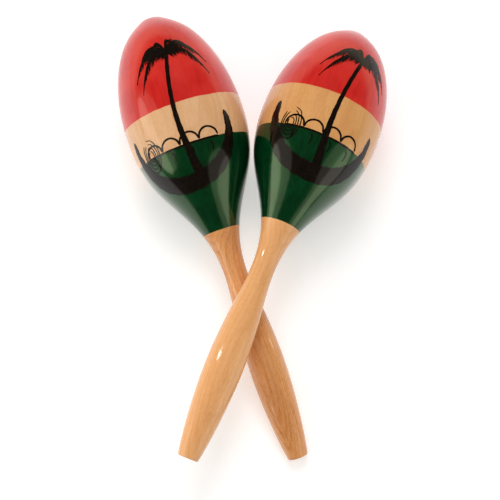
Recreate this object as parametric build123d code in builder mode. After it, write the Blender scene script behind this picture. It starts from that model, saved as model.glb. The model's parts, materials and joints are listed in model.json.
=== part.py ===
"""A crossed pair of turned wooden maracas, resting on a table.

Each maraca is a hollow egg-shaped head on a grip, in one flowing outline. The head is two turned
shells, a crown and a bowl, glued in a rebate. The grip's tenon is glued into the bowl's neck. Loose
steel shot inside the head makes the sound.

Each maraca is modelled upright, with its butt at the origin and its crown at +Z, and is then laid
down. The left one rests on its belly and its grip's end. The right one rests on its belly and across
the left one's grip. The pair stands on Z = 0, heads towards +Y, about the middle of its footprint.
"""

import os
from math import cos, radians, sin, sqrt

from build123d import *

# A maraca's outline: radius and height above the butt, from the butt up to the crown.
butt_radius = 5.7
swell_radius = 10.5
waist_radius = 6.6
head_radius = 34.8
widest_height = 203.0
outline_points = [
    (butt_radius, 0.0),
    (9.2, 26.0),
    (swell_radius, 53.0),
    (8.4, 86.0),
    (waist_radius, 107.0),
    (9.3, 130.0),
    (18.3, 150.0),
    (30.0, 172.0),
    (head_radius, widest_height),
]
butt_slope = (0.2, 1.0)
butt_edge_radius = 0.9

# The crown above the head's widest place: radius, and share of the way up to the tip.
crown_points = [
    (31.7, 0.394),
    (25.2, 0.672),
    (16.2, 0.869),
    (8.4, 0.967),
    (0.0, 1.0),
]
crown_slope = (-1.0, 0.0)

# The maracas are turned by hand, so their lengths and the places of their joints differ a little.
lengths = {"left": 265.5, "right": 262.6}
neck_heights = {"left": 134.9, "right": 136.6}
seam_heights = {"left": 205.4, "right": 208.5}

# The head's shells, and the glued joints between the three turned pieces.
wall = 4.5
rebate_depth = 5.0
tenon_radius = 5.0
tenon_length = 18.0
tenon_chamfer = 0.8
socket_spare_depth = 1.0
glue_gap = 0.05

# The hollow. The wood is left thicker at its floor.
hollow_floor_height = 160.0
hollow_floor_radius = 8.0
hollow_floor_slope = (1.0, 0.15)
hollow_wall_start = 169.0
hollow_wall_end_depth = 8.0
hollow_wall_points = 10

# The shot: a bed of balls on the hollow's wall, and a second layer in the bed's dimples.
shot_radius = 2.0
shot_gap = 0.3
shot_pitch = 4.4
layer_rise = 3.8
bed_rows = 5
bed_columns = 6

# How the pair lies: each maraca's angle to +Y, and how far up from each butt they cross.
headings = {"left": -20.2, "right": 20.2}
crossing_heights = {"left": 87.0, "right": 87.9}
crossing_gap = 0.4

SAMPLES = 800
HALVINGS = 40
STEEPEST = radians(15)


class Outline:
    """One maraca's outline, with the radius along x and the height along y."""

    def __init__(self, length):
        crown_height = length - widest_height
        crown = [(radius, widest_height + share * crown_height) for radius, share in crown_points]
        with BuildLine() as self.line:
            Spline(*outline_points, *crown, tangents=[butt_slope, crown_slope])
        self.edge = self.line.edges()[0]
        self.samples = [self.edge @ (i / SAMPLES) for i in range(SAMPLES + 1)]

    def inset(self, height, depth):
        """Radius and height of the outline's point at a height, moved into the wood by a depth."""
        nearest = min(range(SAMPLES + 1), key=lambda i: abs(self.samples[i].Y - height))
        point = self.samples[nearest]
        along = self.edge % (nearest / SAMPLES)
        return point.X - along.Y * depth, point.Y + along.X * depth

    def radius(self, height):
        """The maraca's radius at a height above its butt."""
        return self.inset(height, 0.0)[0]


# The turned pieces of one maraca, upright.


def turned_pieces(outline, length, neck_height, seam_height):
    """The crown shell, the bowl shell and the handle."""
    with BuildPart() as turned_form:
        with BuildSketch(Plane.XZ):
            with BuildLine():
                add(outline.line)
                Polyline((0, length), (0, 0), (butt_radius, 0))
            make_face()
        revolve(axis=Axis.Z)

    wall_rise = (length - hollow_wall_end_depth - hollow_wall_start) / (hollow_wall_points - 1)
    wall_heights = [hollow_wall_start + wall_rise * i for i in range(hollow_wall_points)]
    with BuildPart() as hollow:
        with BuildSketch(Plane.XZ):
            with BuildLine():
                Spline(
                    (hollow_floor_radius, hollow_floor_height),
                    *[outline.inset(height, wall) for height in wall_heights],
                    (0, length - wall),
                    tangents=[hollow_floor_slope, crown_slope],
                    tangent_scalars=(1, 1),
                )
                Polyline(
                    (0, length - wall),
                    (0, hollow_floor_height),
                    (hollow_floor_radius, hollow_floor_height),
                )
            make_face()
        revolve(axis=Axis.Z)

    seam_plane = Plane.XY.offset(seam_height)
    neck_plane = Plane.XY.offset(neck_height)
    rebate_radius = (outline.inset(seam_height, wall)[0] + outline.radius(seam_height)) / 2

    with BuildPart() as crown_shell:
        add(turned_form)
        split(bisect_by=seam_plane, keep=Keep.TOP)
        add(hollow, mode=Mode.SUBTRACT)
        with BuildSketch(seam_plane):
            Circle(rebate_radius + glue_gap)
        extrude(amount=rebate_depth + glue_gap, mode=Mode.SUBTRACT)

    with BuildPart() as bowl_shell:
        add(turned_form)
        split(bisect_by=seam_plane, keep=Keep.BOTTOM)
        split(bisect_by=neck_plane, keep=Keep.TOP)
        with BuildSketch(seam_plane):
            Circle(rebate_radius)
        extrude(amount=rebate_depth)
        add(hollow, mode=Mode.SUBTRACT)
        with BuildSketch(neck_plane):
            Circle(tenon_radius + glue_gap)
        extrude(amount=tenon_length + socket_spare_depth, mode=Mode.SUBTRACT)

    with BuildPart() as handle:
        add(turned_form)
        split(bisect_by=neck_plane, keep=Keep.BOTTOM)
        fillet(handle.faces().sort_by(Axis.Z)[0].edges(), radius=butt_edge_radius)
        with BuildSketch(neck_plane):
            Circle(tenon_radius)
        extrude(amount=tenon_length)
        chamfer(handle.faces().sort_by(Axis.Z)[-1].edges(), length=tenon_chamfer)

    return {"crown_shell": crown_shell.part, "bowl_shell": bowl_shell.part, "handle": handle.part}


# The shot. It lies at the hollow's lowest place, which is towards -Y on a maraca laid down.

with BuildPart() as ball:
    Sphere(shot_radius)


def shot_centres(outline, pool_height, rows, columns, rise):
    """Centres of one layer of shot: staggered rows round the wall, raised off it by rise."""
    row_step = shot_pitch * sin(radians(60))
    centres = []
    for row in range(rows):
        height = pool_height + (row - (rows - 1) / 2) * row_step
        radius, height = outline.inset(height, wall + shot_gap + shot_radius + rise)
        for column in range(columns - row % 2):
            turn = (column - (columns - row % 2 - 1) / 2) * shot_pitch / radius
            centres.append((radius * sin(turn), -radius * cos(turn), height))
    return centres


def shot_layer(centres):
    """Loose balls as one part of separate solids."""
    return Compound(children=[ball.part.moved(Location(centre)) for centre in centres])


def toss_travel(outline, centres):
    """How far a layer can fly straight across the hollow before its first ball meets the wall."""
    travels = []
    for x, y, height in centres:
        reach = outline.inset(height, wall)[0] - shot_radius - shot_gap
        travels.append(sqrt(reach**2 - x**2) - y)
    return min(travels)


# How the pair lies. A tilt is the axis's angle above the table, towards the crown.


def lowest_point(samples, tilt):
    """How far the outline reaches below the axis's height at the butt, and the height of that point."""
    lowest = min(samples, key=lambda sample: sample.Y * sin(tilt) - sample.X * cos(tilt))
    return lowest.X * cos(tilt) - lowest.Y * sin(tilt), lowest.Y


def head_drop(side, tilt):
    """How far below the axis's height at the butt the belly reaches, and where."""
    samples = [sample for sample in outlines[side].samples if sample.Y > neck_heights[side]]
    return lowest_point(samples, tilt)


def grip_drop(side, tilt):
    """How far below the axis's height at the butt the free end of the grip reaches, and where."""
    samples = [sample for sample in outlines[side].samples if sample.Y < crossing_heights[side]]
    return lowest_point(samples, tilt)


def grip_half_height(side, tilt):
    """Half the grip's upright thickness where the maracas cross."""
    return outlines[side].radius(crossing_heights[side]) / cos(tilt)


def root_of(rising, low, high):
    """Where a rising function of an angle is nought, by halving."""
    for _ in range(HALVINGS):
        middle = (low + high) / 2
        if rising(middle) < 0:
            low = middle
        else:
            high = middle
    return (low + high) / 2


def laid_plane(side, tilt, centre=(0, 0)):
    """The plane of a maraca laid down: z along its axis, y upwards."""
    angle = radians(headings[side])
    axis = Vector(sin(angle) * cos(tilt), cos(angle) * cos(tilt), sin(tilt))
    butt = axis * -crossing_heights[side]
    return Plane(
        origin=(butt.X - centre[0], butt.Y - centre[1], head_drop(side, tilt)[0]),
        x_dir=(-cos(angle), sin(angle), 0),
        z_dir=axis,
    )


outlines = {side: Outline(length) for side, length in lengths.items()}

left_tilt = root_of(lambda tilt: grip_drop("left", tilt)[0] - head_drop("left", tilt)[0], 0, STEEPEST)
left_grip_axis_z = head_drop("left", left_tilt)[0] + crossing_heights["left"] * sin(left_tilt)
left_grip_top = left_grip_axis_z + grip_half_height("left", left_tilt)


def grip_overlap(tilt):
    """How far short of clearing the left grip the right maraca comes, resting on its belly."""
    grip_axis_z = head_drop("right", tilt)[0] + crossing_heights["right"] * sin(tilt)
    return left_grip_top + crossing_gap + grip_half_height("right", tilt) - grip_axis_z


tilts = {"left": left_tilt, "right": root_of(grip_overlap, -STEEPEST, STEEPEST)}

maracas = {}
for side, tilt in tilts.items():
    outline = outlines[side]
    pool_height = head_drop(side, tilt)[1]
    bed_centres = shot_centres(outline, pool_height, bed_rows, bed_columns, 0.0)
    top_centres = shot_centres(outline, pool_height, bed_rows - 1, bed_columns - 1, layer_rise)
    pieces = turned_pieces(outline, lengths[side], neck_heights[side], seam_heights[side])
    pieces["bed_shot"] = shot_layer(bed_centres)
    pieces["top_shot"] = shot_layer(top_centres)
    maracas[side] = pieces
    print(side, "shot toss travel", round(toss_travel(outline, top_centres), 2))

footprint = Compound(
    [
        piece.moved(laid_plane(side, tilts[side]).location)
        for side, pieces in maracas.items()
        for piece in pieces.values()
    ]
).bounding_box()
centre = (footprint.center().X, footprint.center().Y)

os.makedirs("parts", exist_ok=True)
for side, pieces in maracas.items():
    plane = laid_plane(side, tilts[side], centre)
    for name, piece in pieces.items():
        placed = piece.moved(plane.location)
        placed.label = f"{side}_{name}"
        export_step(placed, f"parts/{placed.label}.step")
    print(side, "butt", plane.origin, "axis", plane.z_dir, "up", plane.y_dir)
print("footprint", footprint.size, "lowest", footprint.min.Z)
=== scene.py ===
"""Looks for the crossed pair of maracas: lacquered wood, two bands of paint, and a brushed motif."""

import json
import math
import random
from collections import namedtuple

import bmesh
import bpy
from mathutils import Matrix, Vector


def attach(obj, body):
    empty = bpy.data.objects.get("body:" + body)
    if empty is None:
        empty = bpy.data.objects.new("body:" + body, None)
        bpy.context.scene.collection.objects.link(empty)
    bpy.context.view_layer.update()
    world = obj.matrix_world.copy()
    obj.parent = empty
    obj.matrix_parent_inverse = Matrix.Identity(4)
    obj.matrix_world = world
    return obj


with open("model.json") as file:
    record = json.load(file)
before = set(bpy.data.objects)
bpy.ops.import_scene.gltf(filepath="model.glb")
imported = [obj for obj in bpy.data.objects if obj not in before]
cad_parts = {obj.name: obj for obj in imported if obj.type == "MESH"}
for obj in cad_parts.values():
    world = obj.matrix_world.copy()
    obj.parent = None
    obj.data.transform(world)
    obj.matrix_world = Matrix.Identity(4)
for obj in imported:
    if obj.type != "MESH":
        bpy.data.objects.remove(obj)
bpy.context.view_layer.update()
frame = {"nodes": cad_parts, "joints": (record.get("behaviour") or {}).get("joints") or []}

MM = 0.001
SIDES = ("left", "right")
JOINTS = {joint["name"]: joint for joint in frame["joints"]}


# Each maraca's own frame: origin at the butt, z along the axis to the crown, y upwards as it lies.

TURNED_NODES = ("crown_shell", "bowl_shell", "handle")
HALF_STEP = 0.5
SLOPE_REACH = 1.5


def local_frame(side):
    """Butt, across, up and axis of one maraca. Across points to the left of someone at the handles."""
    butt = Vector(JOINTS[f"{side}_shot_swirl"]["pos_m"])
    axis = Vector(JOINTS[f"{side}_shot_swirl"]["axis"]).normalized()
    up = Vector(JOINTS[f"{side}_shot_toss"]["axis"])
    up = (up - axis * up.dot(axis)).normalized()
    return butt, up.cross(axis), up, axis


FRAMES = {side: local_frame(side) for side in SIDES}


def outer_profile(side):
    """(height, radius) rows in millimetres, rising: the widest CAD point near each whole height."""
    butt, _, _, axis = FRAMES[side]
    near = {}
    for name in TURNED_NODES:
        for vertex in frame["nodes"][f"{side}_{name}"].data.vertices:
            offset = vertex.co - butt
            height = offset.dot(axis)
            radius = (offset - axis * height).length
            step = round(height / MM)
            if abs(height / MM - step) < HALF_STEP:
                near.setdefault(step, []).append((radius / MM, height / MM))
    return sorted((height, radius) for radius, height in map(max, near.values()))


PROFILES = {side: outer_profile(side) for side in SIDES}


def radius_at(side, height):
    """The maraca's radius in millimetres at a height, between the nearest rows of its profile."""
    rows = PROFILES[side]
    low, high = 0, len(rows) - 1
    while high - low > 1:
        middle = (low + high) // 2
        if rows[middle][0] <= height:
            low = middle
        else:
            high = middle
    (h0, r0), (h1, r1) = rows[low], rows[high]
    return r0 + (r1 - r0) * (height - h0) / (h1 - h0)


def on_surface(side, across, height, lift):
    """The point that is across millimetres round from the top of a maraca, at a height up its axis."""
    butt, left, up, axis = FRAMES[side]
    radius = radius_at(side, height)
    change = radius_at(side, height + SLOPE_REACH) - radius_at(side, height - SLOPE_REACH)
    slope = change / (2 * SLOPE_REACH)
    turn = across / radius
    outward = up * math.cos(turn) - left * math.sin(turn)
    normal = (outward - axis * slope).normalized()
    return butt + axis * (height * MM) + outward * (radius * MM) + normal * (lift * MM)


def mixed(a, b, share):
    """The value part of the way from a to b."""
    return a + (b - a) * share


# Brush strokes: thin films of paint laid on a head, drawn as (across, height) in millimetres.

FILM_FOOT = -0.05
FILM_TOP = 0.06
FILM_LAYER = 0.003
FILM_LAYERS = 24
STEP_ALONG = 0.8
STEP_ACROSS = 1.1
THINNEST = 0.12
LEAST_END = 0.02
SLOW_WAVER = 0.9
QUICK_WAVER = 2.3
QUICK_SHARE = 0.6


def flowing(points, step=STEP_ALONG):
    """Closely spaced rows on a Catmull-Rom curve through the given (across, height, width) rows."""
    rows = [Vector(point) for point in points]
    rows = [rows[0] * 2 - rows[1], *rows, rows[-1] * 2 - rows[-2]]
    dense = []
    for a, b, c, d in zip(rows, rows[1:], rows[2:], rows[3:]):
        count = max(2, int((c - b).xy.length / step))
        linear = c - a
        square = 2 * a - 5 * b + 4 * c - d
        cube = 3 * b - a - 3 * c + d
        for i in range(count):
            t = i / count
            dense.append(0.5 * (2 * b + linear * t + square * t * t + cube * t**3))
    dense.append(rows[-2])
    return dense


def rounded_off(half, distance, reach):
    """Half a stroke's width at a distance from one of its ends, which is rounded off within reach."""
    if distance >= reach:
        return half
    return half * math.sqrt(max(LEAST_END, 1 - (1 - distance / reach) ** 2))


def waver(along, slow_phase, quick_phase):
    """How a brush's edge strays, part way along its stroke."""
    slow = math.sin(along * SLOW_WAVER + slow_phase)
    return slow + QUICK_SHARE * math.sin(along * QUICK_WAVER + quick_phase)


class Film:
    """One mesh of brush strokes on one maraca's head."""

    def __init__(self, side, name, seed, shore, layer):
        self.side = side
        self.name = name
        self.shore = shore
        self.layer = layer
        self.random = random.Random(seed)
        self.mesh = bmesh.new()

    def stroke(self, points, wobble=0.05, blunt=(0.35, 0.0)):
        """One stroke through (across, height, width) rows. Blunt rounds off its start and its end."""
        spine = flowing(points)
        last = len(spine) - 1
        lengths = [0.0]
        for a, b in zip(spine, spine[1:]):
            lengths.append(lengths[-1] + (b - a).xy.length)
        lift = FILM_TOP + FILM_LAYER * (self.layer % FILM_LAYERS)
        self.layer += 1
        widest = max(row.z for row in spine)
        cells = max(1, math.ceil(widest / STEP_ACROSS))
        phases = [self.random.uniform(0, math.tau) for _ in range(4)]
        tops, feet = [], []
        for i, row in enumerate(spine):
            along = lengths[i]
            ahead = spine[min(i + 1, last)] - spine[max(i - 1, 0)]
            side_way = Vector((-ahead.y, ahead.x)).normalized()
            half = rounded_off(max(row.z, THINNEST) / 2, along, blunt[0] * widest)
            half = rounded_off(half, lengths[-1] - along, blunt[1] * widest)
            near = wobble * waver(along, phases[0], phases[2])
            far = wobble * waver(along, phases[1], phases[3])
            top_row, foot_row = [], []
            for j in range(cells + 1):
                share = j / cells
                offset = -half - near + (2 * half + near + far) * share
                across = row.x + side_way.x * offset
                height = self.shore + row.y + side_way.y * offset
                top_row.append(self.mesh.verts.new(on_surface(self.side, across, height, lift)))
                foot_row.append(self.mesh.verts.new(on_surface(self.side, across, height, FILM_FOOT)))
            tops.append(top_row)
            feet.append(foot_row)
        self._skin(tops, feet)

    def _skin(self, tops, feet):
        """Closes the film over its rows of top and foot points."""
        new = self.mesh.faces.new
        for a, b, c, d in zip(tops, tops[1:], feet, feet[1:]):
            for j in range(len(a) - 1):
                new((a[j], a[j + 1], b[j + 1], b[j])).smooth = True
                new((c[j], d[j], d[j + 1], c[j + 1]))
            new((a[0], b[0], d[0], c[0]))
            new((a[-1], c[-1], d[-1], b[-1]))
        for top, foot, flip in ((tops[0], feet[0], False), (tops[-1], feet[-1], True)):
            for j in range(len(top) - 1):
                ring = (top[j], foot[j], foot[j + 1], top[j + 1])
                new(ring[::-1] if flip else ring)

    def finish(self, material):
        """Makes the object, and lets it ride on its maraca."""
        bmesh.ops.recalc_face_normals(self.mesh, faces=self.mesh.faces)
        for edge in self.mesh.edges:
            edge.smooth = all(face.smooth for face in edge.link_faces)
        data = bpy.data.meshes.new(self.name)
        self.mesh.to_mesh(data)
        self.mesh.free()
        data.materials.append(material)
        piece = bpy.data.objects.new(self.name, data)
        bpy.context.scene.collection.objects.link(piece)
        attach(piece, f"{self.side}_maraca")


# A plain palm, crescent, hills and rings. Across is to the right of the head's top line, seen from
# the handles; heights are from the shore line, where the green paint ends. All in millimetres.

MOTIFS = {
    "left": {
        "palm": (1.0, 52.0),
        "foot": (-2.0, -17.0),
        "bow": -4.5,
        "boat": (-8.0, 9.0),
        "rings": (-27.0, 1.0),
    },
    "right": {
        "palm": (11.0, 50.0),
        "foot": (8.0, -17.0),
        "bow": -2.5,
        "boat": (5.0, 9.0),
        "rings": (-14.0, 1.0),
    },
}

FROND_ANGLES = range(205, -30, -32)
FROND_POINTS = 6
FROND_REACH = 22.0
FROND_RISE = 0.6
FROND_ARCH = 5.0
FROND_DROOP = 13.0
RIB_WIDTHS = (1.5, 0.45)
RIB_STEP = 0.3

# A frond's leaflets. The pairs of numbers are the ranges of random draws.
LEAVES = 46
LEAF_LENGTH = 7.0
LEAFY_SHARE = 0.86
LEAF_FIRST = 0.2
LEAF_FULLNESS = 0.7
LEAF_PLACES = (0.1, 0.9)
LEAF_LENGTHS = (0.7, 1.1)
LEAF_HANGS = (0.7, 1.05)
LEAF_WIDTHS = (0.5, 0.8)
LEAF_FORWARD = 0.9
LEAF_BEND = 0.3
LEAF_INWARD = -0.3
LEAF_THINNING = 0.6
LEAF_MIDDLE_WIDTH = 0.8

TRUNK_POINTS = 8
TRUNK_WIDTH = 2.2
TRUNK_SPREAD = 3.4

BOAT_POINTS = 13
BOAT_SWEEP = (172, 368)
BOAT_HALF_WIDTH = 31.0
BOAT_DEPTH = 29.0
HORN_WIDTH = 3.0
BELLY_WIDTH = 6.0

SHORE_HEIGHT = -0.2
LINE_WIDTH = 1.1
HILLS = 4
HILL_POINTS = 6
HILL_WIDTH = 11.0
HILL_HEIGHT = 5.5
HILL_FOOT = 0.4
RIPPLE = ((5.0, -1.4, 0.9), (6.4, -4.0, 0.9), (5.4, -8.0, 0.5))

RINGS = 4
RING_POINTS = 15
RING_SIZE = (5.6, 9.0)
RING_SPARE = 0.4
RING_STARTS = (1.9, 2.5)
RING_TURNS = (5.2, 6.0)
RING_ACROSS_RANGE = (0.96, 1.04)
RING_UP_RANGE = (0.97, 1.03)
RING_WIDTHS = (0.9, 0.4)
RING_WIDEST_AT = 0.4
RING_TAPER = 1.6
RING_THINNEST = 0.3


def leaflet(film, rib, share, droop):
    """One fine tapering leaflet, which hangs from the rib at a share of its length."""
    root = int(share * (len(rib) - 2))
    at = rib[root]
    ahead = (rib[min(root + 2, len(rib) - 1)] - at).xy.normalized()
    length = LEAF_LENGTH * math.sin(math.pi * mixed(LEAF_FIRST, 1.0, share)) ** LEAF_FULLNESS
    length *= film.random.uniform(*LEAF_LENGTHS) * (1 - share**2)
    hang = (ahead * LEAF_FORWARD + droop * film.random.uniform(*LEAF_HANGS)).normalized()
    bend = (hang + droop * LEAF_BEND).normalized()
    middle = at.xy + hang * length * 0.5
    end = middle + bend * length * 0.5
    thick = film.random.uniform(*LEAF_WIDTHS) * mixed(1.0, LEAF_THINNING, share)
    rows = [
        (at.x, at.y, thick),
        (middle.x, middle.y, thick * LEAF_MIDDLE_WIDTH),
        (end.x, end.y, THINNEST),
    ]
    film.stroke(rows, wobble=0.02, blunt=(0.0, 0.0))


def frond(film, spine, droop):
    """A palm frond: a thin rib, and leaflets that hang from it towards droop."""
    tip = len(spine) - 1
    film.stroke([(x, y, mixed(*RIB_WIDTHS, i / tip)) for i, (x, y) in enumerate(spine)])
    rib = flowing([(x, y, 0.0) for x, y in spine], RIB_STEP)
    for k in range(LEAVES):
        share = (k + film.random.uniform(*LEAF_PLACES)) / LEAVES * LEAFY_SHARE
        leaflet(film, rib, share, droop)


def palm_fronds(film, motif):
    """Evenly fanned fronds that arch out from the top of the trunk and droop."""
    centre = motif["palm"]
    for degrees in FROND_ANGLES:
        angle = math.radians(degrees)
        spine = []
        for step in range(FROND_POINTS):
            share = step / (FROND_POINTS - 1)
            across = centre[0] + FROND_REACH * math.cos(angle) * share
            rise = FROND_REACH * FROND_RISE * math.sin(angle) * share
            rise += FROND_ARCH * math.sin(math.pi * share)
            spine.append((across, centre[1] + rise - FROND_DROOP * share**2))
        frond(film, spine, Vector((LEAF_INWARD * math.cos(angle), -1.0)))


def palm_trunk(film, motif):
    """A trunk that bows to one side and thickens to its foot."""
    top, foot = motif["palm"], motif["foot"]
    rows = []
    for step in range(TRUNK_POINTS):
        share = step / (TRUNK_POINTS - 1)
        across = mixed(top[0], foot[0], share) + motif["bow"] * math.sin(math.pi * share)
        rows.append((across, mixed(top[1], foot[1], share), TRUNK_WIDTH + TRUNK_SPREAD * share**3))
    film.stroke(rows, wobble=0.07, blunt=(0.3, 0.2))


def crescent(film, motif):
    """A boat-like crescent with two even horns."""
    centre = motif["boat"]
    rows = []
    for step in range(BOAT_POINTS):
        share = step / (BOAT_POINTS - 1)
        angle = math.radians(mixed(*BOAT_SWEEP, share))
        across = centre[0] + BOAT_HALF_WIDTH * math.cos(angle)
        width = HORN_WIDTH + BELLY_WIDTH * math.sin(math.pi * share)
        rows.append((across, centre[1] + BOAT_DEPTH * math.sin(angle), width))
    film.stroke(rows, wobble=0.16, blunt=(0.4, 0.4))


def shore_and_hills(film, motif):
    """A shore line over the crescent, equal hills above it, and a short ripple below each hill."""
    start = motif["boat"][0] - HILLS / 2 * HILL_WIDTH
    lines = [[(start + 2 * HILL_WIDTH * k, SHORE_HEIGHT, LINE_WIDTH) for k in range(3)]]
    for k in range(HILLS):
        left = start + HILL_WIDTH * k
        hill = []
        for step in range(HILL_POINTS):
            angle = math.pi * step / (HILL_POINTS - 1)
            across = left + HILL_WIDTH * 0.5 * (1 - math.cos(angle))
            hill.append((across, HILL_FOOT + HILL_HEIGHT * math.sin(angle), LINE_WIDTH))
        lines.append(hill)
        lines.append([(left + across, height, width) for across, height, width in RIPPLE])
    for line in lines:
        film.stroke(line, wobble=0.04, blunt=(0.4, 0.4))


def rings(film, motif):
    """Nested open ovals, each a single uneven turn of a thin brush."""
    centre = motif["rings"]
    for k in range(RINGS):
        size = 1 - k / (RINGS + RING_SPARE)
        start = film.random.uniform(*RING_STARTS)
        turn = film.random.uniform(*RING_TURNS)
        points = []
        for i in range(RING_POINTS):
            angle = start + turn * i / (RING_POINTS - 1)
            x = math.cos(angle) * RING_SIZE[0] * size * film.random.uniform(*RING_ACROSS_RANGE)
            y = math.sin(angle) * RING_SIZE[1] * size * film.random.uniform(*RING_UP_RANGE)
            thin = abs(i / (RING_POINTS - 1) - RING_WIDEST_AT) * RING_TAPER
            width = max(mixed(*RING_WIDTHS, thin), RING_THINNEST)
            points.append((centre[0] + x, centre[1] + y, width))
        film.stroke(points, wobble=0.03, blunt=(0.5, 0.5))


# Each film's name, what draws it, and the layer that its first stroke lies on.
FILMS = (
    ("palm_fronds", palm_fronds, 0),
    ("palm_trunk", palm_trunk, FILM_LAYERS - 1),
    ("boat", crescent, 0),
    ("shore_and_hills", shore_and_hills, 6),
    ("loops", rings, 6),
)


def draw_motif(side, shore, ink):
    """A palm on a shore: fronds, trunk, boat, hills and rings, each its own piece."""
    seed = SIDES.index(side) * 100
    for number, (name, draw, layer) in enumerate(FILMS, 1):
        film = Film(side, f"{side}_{name}", seed + number, shore, layer)
        draw(film, MOTIFS[side])
        film.finish(ink)


# Materials. The wood's and the paint's node trees work in one maraca's own frame, in millimetres.

BUMP_DISTANCE = 0.0002


class Nodes:
    """A short way to write one material's node tree."""

    def __init__(self, name):
        self.material = bpy.data.materials.new(name)
        self.material.use_nodes = True
        self.tree = self.material.node_tree
        self.surface = next(n for n in self.tree.nodes if n.type == "BSDF_PRINCIPLED").inputs

    def link(self, value, socket):
        """Joins a value to a socket: another node's output, or a constant set on the socket."""
        if isinstance(value, bpy.types.NodeSocket):
            self.tree.links.new(value, socket)
        else:
            socket.default_value = value

    def new(self, kind, values=(), **settings):
        """A node with its settings and inputs. Values is {input: value}."""
        node = self.tree.nodes.new(kind)
        for key, setting in settings.items():
            setattr(node, key, setting)
        for key, value in dict(values).items():
            self.link(value, node.inputs[key])
        return node

    def calc(self, operation, *values, clamp=False):
        """One step of arithmetic."""
        values = dict(enumerate(values))
        return self.new("ShaderNodeMath", values, operation=operation, use_clamp=clamp).outputs[0]

    def ramp(self, value, low, high):
        """0 below low, 1 above high, smooth between."""
        values = {"Value": value, "From Min": low, "From Max": high}
        node = self.new("ShaderNodeMapRange", values, interpolation_type="SMOOTHSTEP")
        return node.outputs[0]

    def blend(self, share, a, b):
        """A colour part of the way from a to b."""
        node = self.new("ShaderNodeMix", data_type="RGBA", blend_type="MIX")
        self.link(share, node.inputs[0])
        self.link(a, node.inputs[6])
        self.link(b, node.inputs[7])
        return node.outputs[2]

    def noise(self, vector, scale, detail=3.0, roughness=0.55):
        """Smooth noise about 0.5, with its own scale along each axis."""
        vector = self.new("ShaderNodeMapping", {"Vector": vector, "Scale": scale}).outputs[0]
        values = {"Vector": vector, "Scale": 1.0, "Detail": detail, "Roughness": roughness}
        return self.new("ShaderNodeTexNoise", values).outputs["Fac"]

    def bump(self, strength, height):
        """A normal that follows a height."""
        values = {"Strength": strength, "Distance": BUMP_DISTANCE, "Height": height}
        return self.new("ShaderNodeBump", values).outputs[0]

    def own_place(self, side):
        """This point in the maraca's own frame, in millimetres."""
        butt, left, up, axis = FRAMES[side]
        turn = Matrix((left, up, axis)).transposed().to_euler()
        spot = self.new("ShaderNodeTexCoord").outputs["Object"]
        values = {"Vector": spot, "Location": butt, "Rotation": turn, "Scale": (MM, MM, MM)}
        return self.new("ShaderNodeMapping", values, vector_type="TEXTURE").outputs[0]


def rgb(red, green, blue):
    """An sRGB colour of 0 to 255 as a linear one."""
    linear = []
    for value in (red, green, blue):
        value /= 255
        linear.append(value / 12.92 if value <= 0.04045 else ((value + 0.055) / 1.055) ** 2.4)
    return (*linear, 1.0)


# The tree's heart is beside the maraca's axis, ring is the width of a growth ring, and lean is how
# much nearer the heart each millimetre up the axis takes it.
Grain = namedtuple("Grain", "pale deep pore heart lean ring contrast")

HEAD_GRAIN = {
    "left": Grain(rgb(232, 186, 142), rgb(212, 156, 106), rgb(170, 112, 66), (9.0, 30.0), 0.03, 2.1, 0.6),
    "right": Grain(rgb(226, 170, 110), rgb(204, 138, 78), rgb(164, 102, 52), (-26.0, 70.0), 0.05, 3.4, 0.6),
}
GRIP_GRAIN = {
    "left": Grain(rgb(226, 164, 108), rgb(192, 122, 66), rgb(140, 80, 38), (46.0, 62.0), 0.01, 1.5, 0.8),
    "right": Grain(rgb(232, 174, 118), rgb(214, 150, 94), rgb(170, 106, 56), (-80.0, 90.0), 0.01, 2.2, 0.7),
}

DRIFT_SCALE = (0.035, 0.035, 0.008)
DRIFT = 16.0
LATE_STARTS = (0.25, 0.9)
LATE_ENDS = (0.92, 1.0)
LATE_DEPTH = 0.36
FLECK_SCALE = (1.5, 1.5, 0.5)
FLECK_RANGE = (0.42, 0.66)
FLECK_DEPTH = 0.3
FIBRE_SCALE = (2.1, 2.1, 0.045)
FIBRE_RANGE = (0.36, 0.7)
FIBRE_DEPTH = 0.38
CLOUD_SCALE = (0.09, 0.09, 0.02)
CLOUD_RANGE = (0.3, 0.72)
CLOUD_DEPTH = 0.5
PORE_SCALE = (5.0, 5.0, 0.22)
PORE_RANGE = (0.63, 0.72)
PORE_DEPTH = 0.55


def late_wood(n, place, grain):
    """The dark late part of each growth ring, from 0 to 1."""
    drift = n.noise(place, DRIFT_SCALE, 2.0)
    spread = n.new("ShaderNodeSeparateXYZ", {0: place}).outputs
    x = n.calc("ADD", spread[0], grain.heart[0])
    y = n.calc("ADD", spread[1], grain.heart[1])
    reach = n.calc("SQRT", n.calc("ADD", n.calc("MULTIPLY", x, x), n.calc("MULTIPLY", y, y)))
    reach = n.calc("ADD", reach, n.calc("MULTIPLY", spread[2], grain.lean))
    reach = n.calc("ADD", reach, n.calc("MULTIPLY", drift, DRIFT))
    wave = n.calc("FRACT", n.calc("DIVIDE", reach, grain.ring))
    ending = n.calc("SUBTRACT", 1.0, n.ramp(wave, *LATE_ENDS))
    return n.calc("MULTIPLY", n.ramp(wave, *LATE_STARTS), ending)


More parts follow.
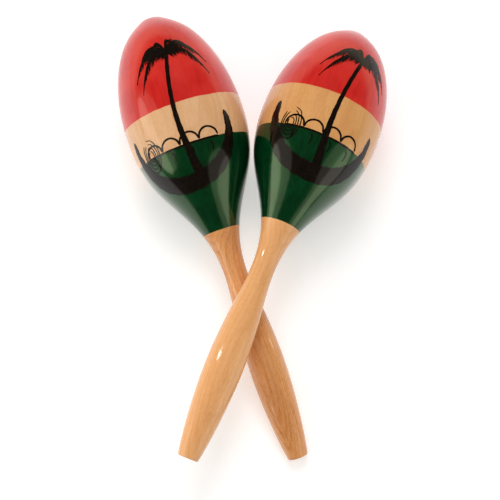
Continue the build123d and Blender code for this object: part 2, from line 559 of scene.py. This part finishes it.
def wood(n, place, grain):
    """Turned wood's colour and its fibres: growth rings, flecks, long fibres, clouds and dark pores."""
    fleck = n.noise(place, FLECK_SCALE, 2.0, 0.6)
    fibre = n.noise(place, FIBRE_SCALE, 4.0, 0.65)
    cloud = n.noise(place, CLOUD_SCALE)
    body = n.calc("MULTIPLY", late_wood(n, place, grain), LATE_DEPTH * grain.contrast)
    for mark, limits, depth in (
        (fleck, FLECK_RANGE, FLECK_DEPTH),
        (fibre, FIBRE_RANGE, FIBRE_DEPTH),
        (cloud, CLOUD_RANGE, CLOUD_DEPTH),
    ):
        darker = n.calc("MULTIPLY", n.ramp(mark, *limits), depth * grain.contrast)
        body = n.calc("ADD", body, darker, clamp=True)
    pores = n.ramp(n.noise(place, PORE_SCALE, 2.0, 0.5), *PORE_RANGE)
    pores = n.calc("MULTIPLY", pores, PORE_DEPTH * grain.contrast)
    return n.blend(pores, n.blend(body, grain.pale, grain.deep), grain.pore), fibre


COAT_IOR = 1.5
COAT_ROUGHNESS = 0.105
RIPPLE_SCALE = (0.12, 0.12, 0.05)
RIPPLE_BUMP = 0.12


def lacquer(n, place, tone, roughness, bump, height, coat, sheen=0.05):
    """Clear gloss lacquer with a slow ripple, over a ground. Sheen is the ground's own gloss."""
    n.link(tone, n.surface["Base Color"])
    n.link(roughness, n.surface["Roughness"])
    n.link(sheen, n.surface["Specular IOR Level"])
    n.link(n.bump(bump, height), n.surface["Normal"])
    n.link(coat, n.surface["Coat Weight"])
    n.link(COAT_IOR, n.surface["Coat IOR"])
    n.link(COAT_ROUGHNESS, n.surface["Coat Roughness"])
    ripple = n.noise(place, RIPPLE_SCALE, 1.0)
    n.link(n.bump(RIPPLE_BUMP, ripple), n.surface["Coat Normal"])


FLOW_SCALE = (0.5, 0.5, 0.04)
FLOW_RANGE = (0.3, 0.75)
BLOT_SCALE = (0.05, 0.05, 0.05)
RED_BLOTS = (0.35, 0.75)
GREEN_BLOTS = (0.4, 0.8)
EDGE_SCALE = (0.11, 0.11, 0.11)
EDGE_WAVER = 0.9
EDGE_SOFTNESS = 0.15
RED_ROUGHNESS = 0.5
GREEN_SMOOTHER = 0.32


def head_material(side, band_low, band_high):
    """Red above the band, bare wood in the band, and green below it."""
    n = Nodes(f"{side}_head")
    place = n.own_place(side)
    bare, fibre = wood(n, place, HEAD_GRAIN[side])
    flow = n.ramp(n.noise(place, FLOW_SCALE), *FLOW_RANGE)
    blot = n.noise(place, BLOT_SCALE)
    red = n.blend(flow, rgb(208, 38, 32), rgb(194, 30, 28))
    red = n.blend(n.ramp(blot, *RED_BLOTS), red, rgb(216, 52, 44))
    green = n.blend(flow, rgb(1, 52, 25), rgb(0, 38, 16))
    green = n.blend(n.ramp(blot, *GREEN_BLOTS), green, rgb(3, 60, 31))
    edge = n.calc("SUBTRACT", n.noise(place, EDGE_SCALE, 2.0), 0.5)
    height = n.new("ShaderNodeSeparateXYZ", {0: place}).outputs[2]
    height = n.calc("ADD", height, n.calc("MULTIPLY", edge, EDGE_WAVER))
    above = n.ramp(height, band_high - EDGE_SOFTNESS, band_high + EDGE_SOFTNESS)
    not_green = n.ramp(height, band_low - EDGE_SOFTNESS, band_low + EDGE_SOFTNESS)
    tone = n.blend(not_green, green, n.blend(above, bare, red))
    is_green = n.calc("LESS_THAN", height, band_low)
    roughness = n.calc("SUBTRACT", RED_ROUGHNESS, n.calc("MULTIPLY", is_green, GREEN_SMOOTHER))
    lacquer(n, place, tone, roughness, 0.25, fibre, coat=0.8, sheen=0.45)
    n.link(n.blend(is_green, rgb(80, 78, 74), rgb(150, 240, 110)), n.surface["Specular Tint"])
    return n.material


def grip_material(side):
    """Bare lacquered wood."""
    n = Nodes(f"{side}_grip")
    place = n.own_place(side)
    tone, fibre = wood(n, place, GRIP_GRAIN[side])
    lacquer(n, place, tone, 0.45, 0.3, fibre, coat=0.9)
    return n.material


def ink_material(side):
    """Nearly black brush paint, a little streaked and blotted, under the same lacquer."""
    n = Nodes(f"{side}_ink")
    place = n.own_place(side)
    streak = n.noise(place, (0.9, 0.9, 0.5), 4.0, 0.6)
    blot = n.noise(place, (0.2, 0.2, 0.2), 2.0)
    tone = n.blend(n.ramp(streak, 0.35, 0.75), rgb(12, 8, 5), rgb(26, 14, 9))
    tone = n.blend(n.ramp(blot, 0.45, 0.8), tone, rgb(9, 7, 4))
    lacquer(n, place, tone, 0.55, 0.2, streak, coat=0.65)
    return n.material


def shot_material():
    """Dull steel balls."""
    n = Nodes("shot_steel")
    grime = n.noise(n.new("ShaderNodeTexCoord").outputs["Object"], (900.0, 900.0, 900.0))
    tone = n.blend(n.ramp(grime, 0.3, 0.7), rgb(150, 150, 152), rgb(96, 94, 92))
    n.link(tone, n.surface["Base Color"])
    n.link(n.ramp(grime, -0.4, 1.6), n.surface["Roughness"])
    n.link(1.0, n.surface["Metallic"])
    return n.material


def dress(node, material):
    """Puts one material on every slot of a CAD node."""
    data = frame["nodes"][node].data
    if not data.materials:
        data.materials.append(material)
    for index in range(len(data.materials)):
        data.materials[index] = material


# How far below the crown's seam the green paint starts, in millimetres.
BARE_BAND = {"left": 22.9, "right": 24.5}

steel = shot_material()
for side in SIDES:
    butt, _, _, axis = FRAMES[side]
    crown = frame["nodes"][f"{side}_crown_shell"].data.vertices
    seam = min((vertex.co - butt).dot(axis) for vertex in crown) / MM
    shore = seam - BARE_BAND[side]
    head = head_material(side, shore, seam)
    dress(f"{side}_crown_shell", head)
    dress(f"{side}_bowl_shell", head)
    dress(f"{side}_handle", grip_material(side))
    dress(f"{side}_bed_shot", steel)
    dress(f"{side}_top_shot", steel)
    draw_motif(side, shore, ink_material(side))


# The stage: a white table, soft boxes on both sides, two streak lamps for the handles, a lamp
# behind and one above, a warm pale room, and the camera.

FLOOR_SIZE = 12.0
FLOOR_COLOUR = (0.74, 0.75, 0.77, 1.0)
FLOOR_ROUGHNESS = 0.9
FLOOR_GLOW = 0.42
WHITE = (1.0, 1.0, 1.0)
WARM = (1.0, 0.95, 0.82)
HEADS_MIDDLE = Vector((0.0, 0.05, 0.04))
WALL_COLOUR = (1.0, 0.87, 0.66, 1.0)
WALL_LEAN = -0.3
# The wall's sine of elevation where it starts and stops fading, and its two strengths.
WALL_FADE = (-0.02, 0.19, 1.05, 0.05)

# An oval lamp that faces the heads. Azimuth is from +X towards +Y, and angles are in degrees.
Lamp = namedtuple("Lamp", "name azimuth elevation distance size power tint in_gloss handles_only")

LAMPS = (
    Lamp("box_left_low", -158.5, 17.0, 0.85, (0.9, 0.38), 1.6, WARM, True, False),
    Lamp("box_left", -158.5, 27.0, 0.87, (0.95, 0.76), 1.5, WARM, True, False),
    Lamp("box_right_low", -36.0, 14.0, 0.85, (0.8, 0.34), 0.8, WARM, True, False),
    Lamp("box_right", -36.0, 23.0, 0.87, (0.8, 0.72), 0.95, WARM, True, False),
    Lamp("streak_left", 160.0, 39.0, 0.85, (0.035, 0.26), 0.75, WHITE, True, True),
    Lamp("streak_right", 13.0, 16.0, 0.87, (0.05, 0.12), 0.14, WHITE, True, True),
    Lamp("lamp_back", 97.0, 55.0, 1.4, (0.7, 0.7), 6.5, WHITE, False, False),
    Lamp("lamp_over", 90.0, 88.0, 1.3, (1.8, 1.8), 10.5, WHITE, False, False),
)


def stage_floor():
    """A plain white sweep."""
    bpy.ops.mesh.primitive_plane_add(size=FLOOR_SIZE, location=(0, 0, 0))
    floor = bpy.context.object
    floor.name = "floor"
    n = Nodes("floor_white")
    n.link(FLOOR_COLOUR, n.surface["Base Color"])
    n.link(FLOOR_ROUGHNESS, n.surface["Roughness"])
    n.link(0.0, n.surface["Specular IOR Level"])
    n.link((*WHITE, 1.0), n.surface["Emission Color"])
    n.link(FLOOR_GLOW, n.surface["Emission Strength"])
    floor.data.materials.append(n.material)


def hang_lamp(lamp, handles):
    """One lamp, which lights only the handles where the table says so."""
    data = bpy.data.lights.new(lamp.name, "AREA")
    data.shape = "ELLIPSE"
    data.size, data.size_y = lamp.size
    data.energy = lamp.power
    data.color = lamp.tint
    hung = bpy.data.objects.new(lamp.name, data)
    turn, rise = math.radians(lamp.azimuth), math.radians(lamp.elevation)
    away = Vector((math.cos(turn) * math.cos(rise), math.sin(turn) * math.cos(rise), math.sin(rise)))
    hung.location = HEADS_MIDDLE + away * lamp.distance
    hung.rotation_mode = "QUATERNION"
    hung.rotation_quaternion = (-away).to_track_quat("-Z", "Y")
    hung.visible_glossy = lamp.in_gloss
    if lamp.handles_only:
        hung.light_linking.receiver_collection = handles
    bpy.context.scene.collection.objects.link(hung)


def pale_room():
    """A room whose pale wall stands behind the heads, fading to a dim ceiling."""
    world = bpy.data.worlds.new("white_room")
    world.use_nodes = True
    tree = world.node_tree
    place = tree.nodes.new("ShaderNodeTexCoord").outputs["Generated"]
    spread = tree.nodes.new("ShaderNodeSeparateXYZ")
    tree.links.new(place, spread.inputs[0])
    rise = tree.nodes.new("ShaderNodeMath")
    rise.operation = "MULTIPLY_ADD"
    tree.links.new(spread.outputs[1], rise.inputs[0])
    rise.inputs[1].default_value = WALL_LEAN
    tree.links.new(spread.outputs[2], rise.inputs[2])
    fade = tree.nodes.new("ShaderNodeMapRange")
    fade.interpolation_type = "SMOOTHSTEP"
    for index, value in enumerate(WALL_FADE, 1):
        fade.inputs[index].default_value = value
    tree.links.new(rise.outputs[0], fade.inputs[0])
    background = tree.nodes["Background"]
    background.inputs["Color"].default_value = WALL_COLOUR
    tree.links.new(fade.outputs[0], background.inputs["Strength"])
    bpy.context.scene.world = world


stage_floor()
handles = bpy.data.collections.new("handles")
for side in SIDES:
    handles.objects.link(frame["nodes"][f"{side}_handle"])
for lamp in LAMPS:
    hang_lamp(lamp, handles)
pale_room()
bpy.context.scene.view_settings.view_transform = "Standard"

CAMERA_TARGET = Vector((0.0002, -0.0018, 0.0))
CAMERA_DISTANCE = 0.52
CAMERA_ELEVATION = math.radians(76.86)
CAMERA_AZIMUTH = math.radians(1.21)
CAMERA_SENSOR = 36.0
CAMERA_LENS = 62.26

back = Vector(
    (
        math.sin(CAMERA_AZIMUTH) * math.cos(CAMERA_ELEVATION),
        -math.cos(CAMERA_AZIMUTH) * math.cos(CAMERA_ELEVATION),
        math.sin(CAMERA_ELEVATION),
    )
)
camera_data = bpy.data.cameras.new("camera")
camera_data.sensor_width = CAMERA_SENSOR
camera_data.lens = CAMERA_LENS
camera = bpy.data.objects.new("camera", camera_data)
camera.location = CAMERA_TARGET + back * CAMERA_DISTANCE
camera.rotation_mode = "QUATERNION"
camera.rotation_quaternion = (-back).to_track_quat("-Z", "Y")
bpy.context.scene.collection.objects.link(camera)
bpy.context.scene.camera = camera
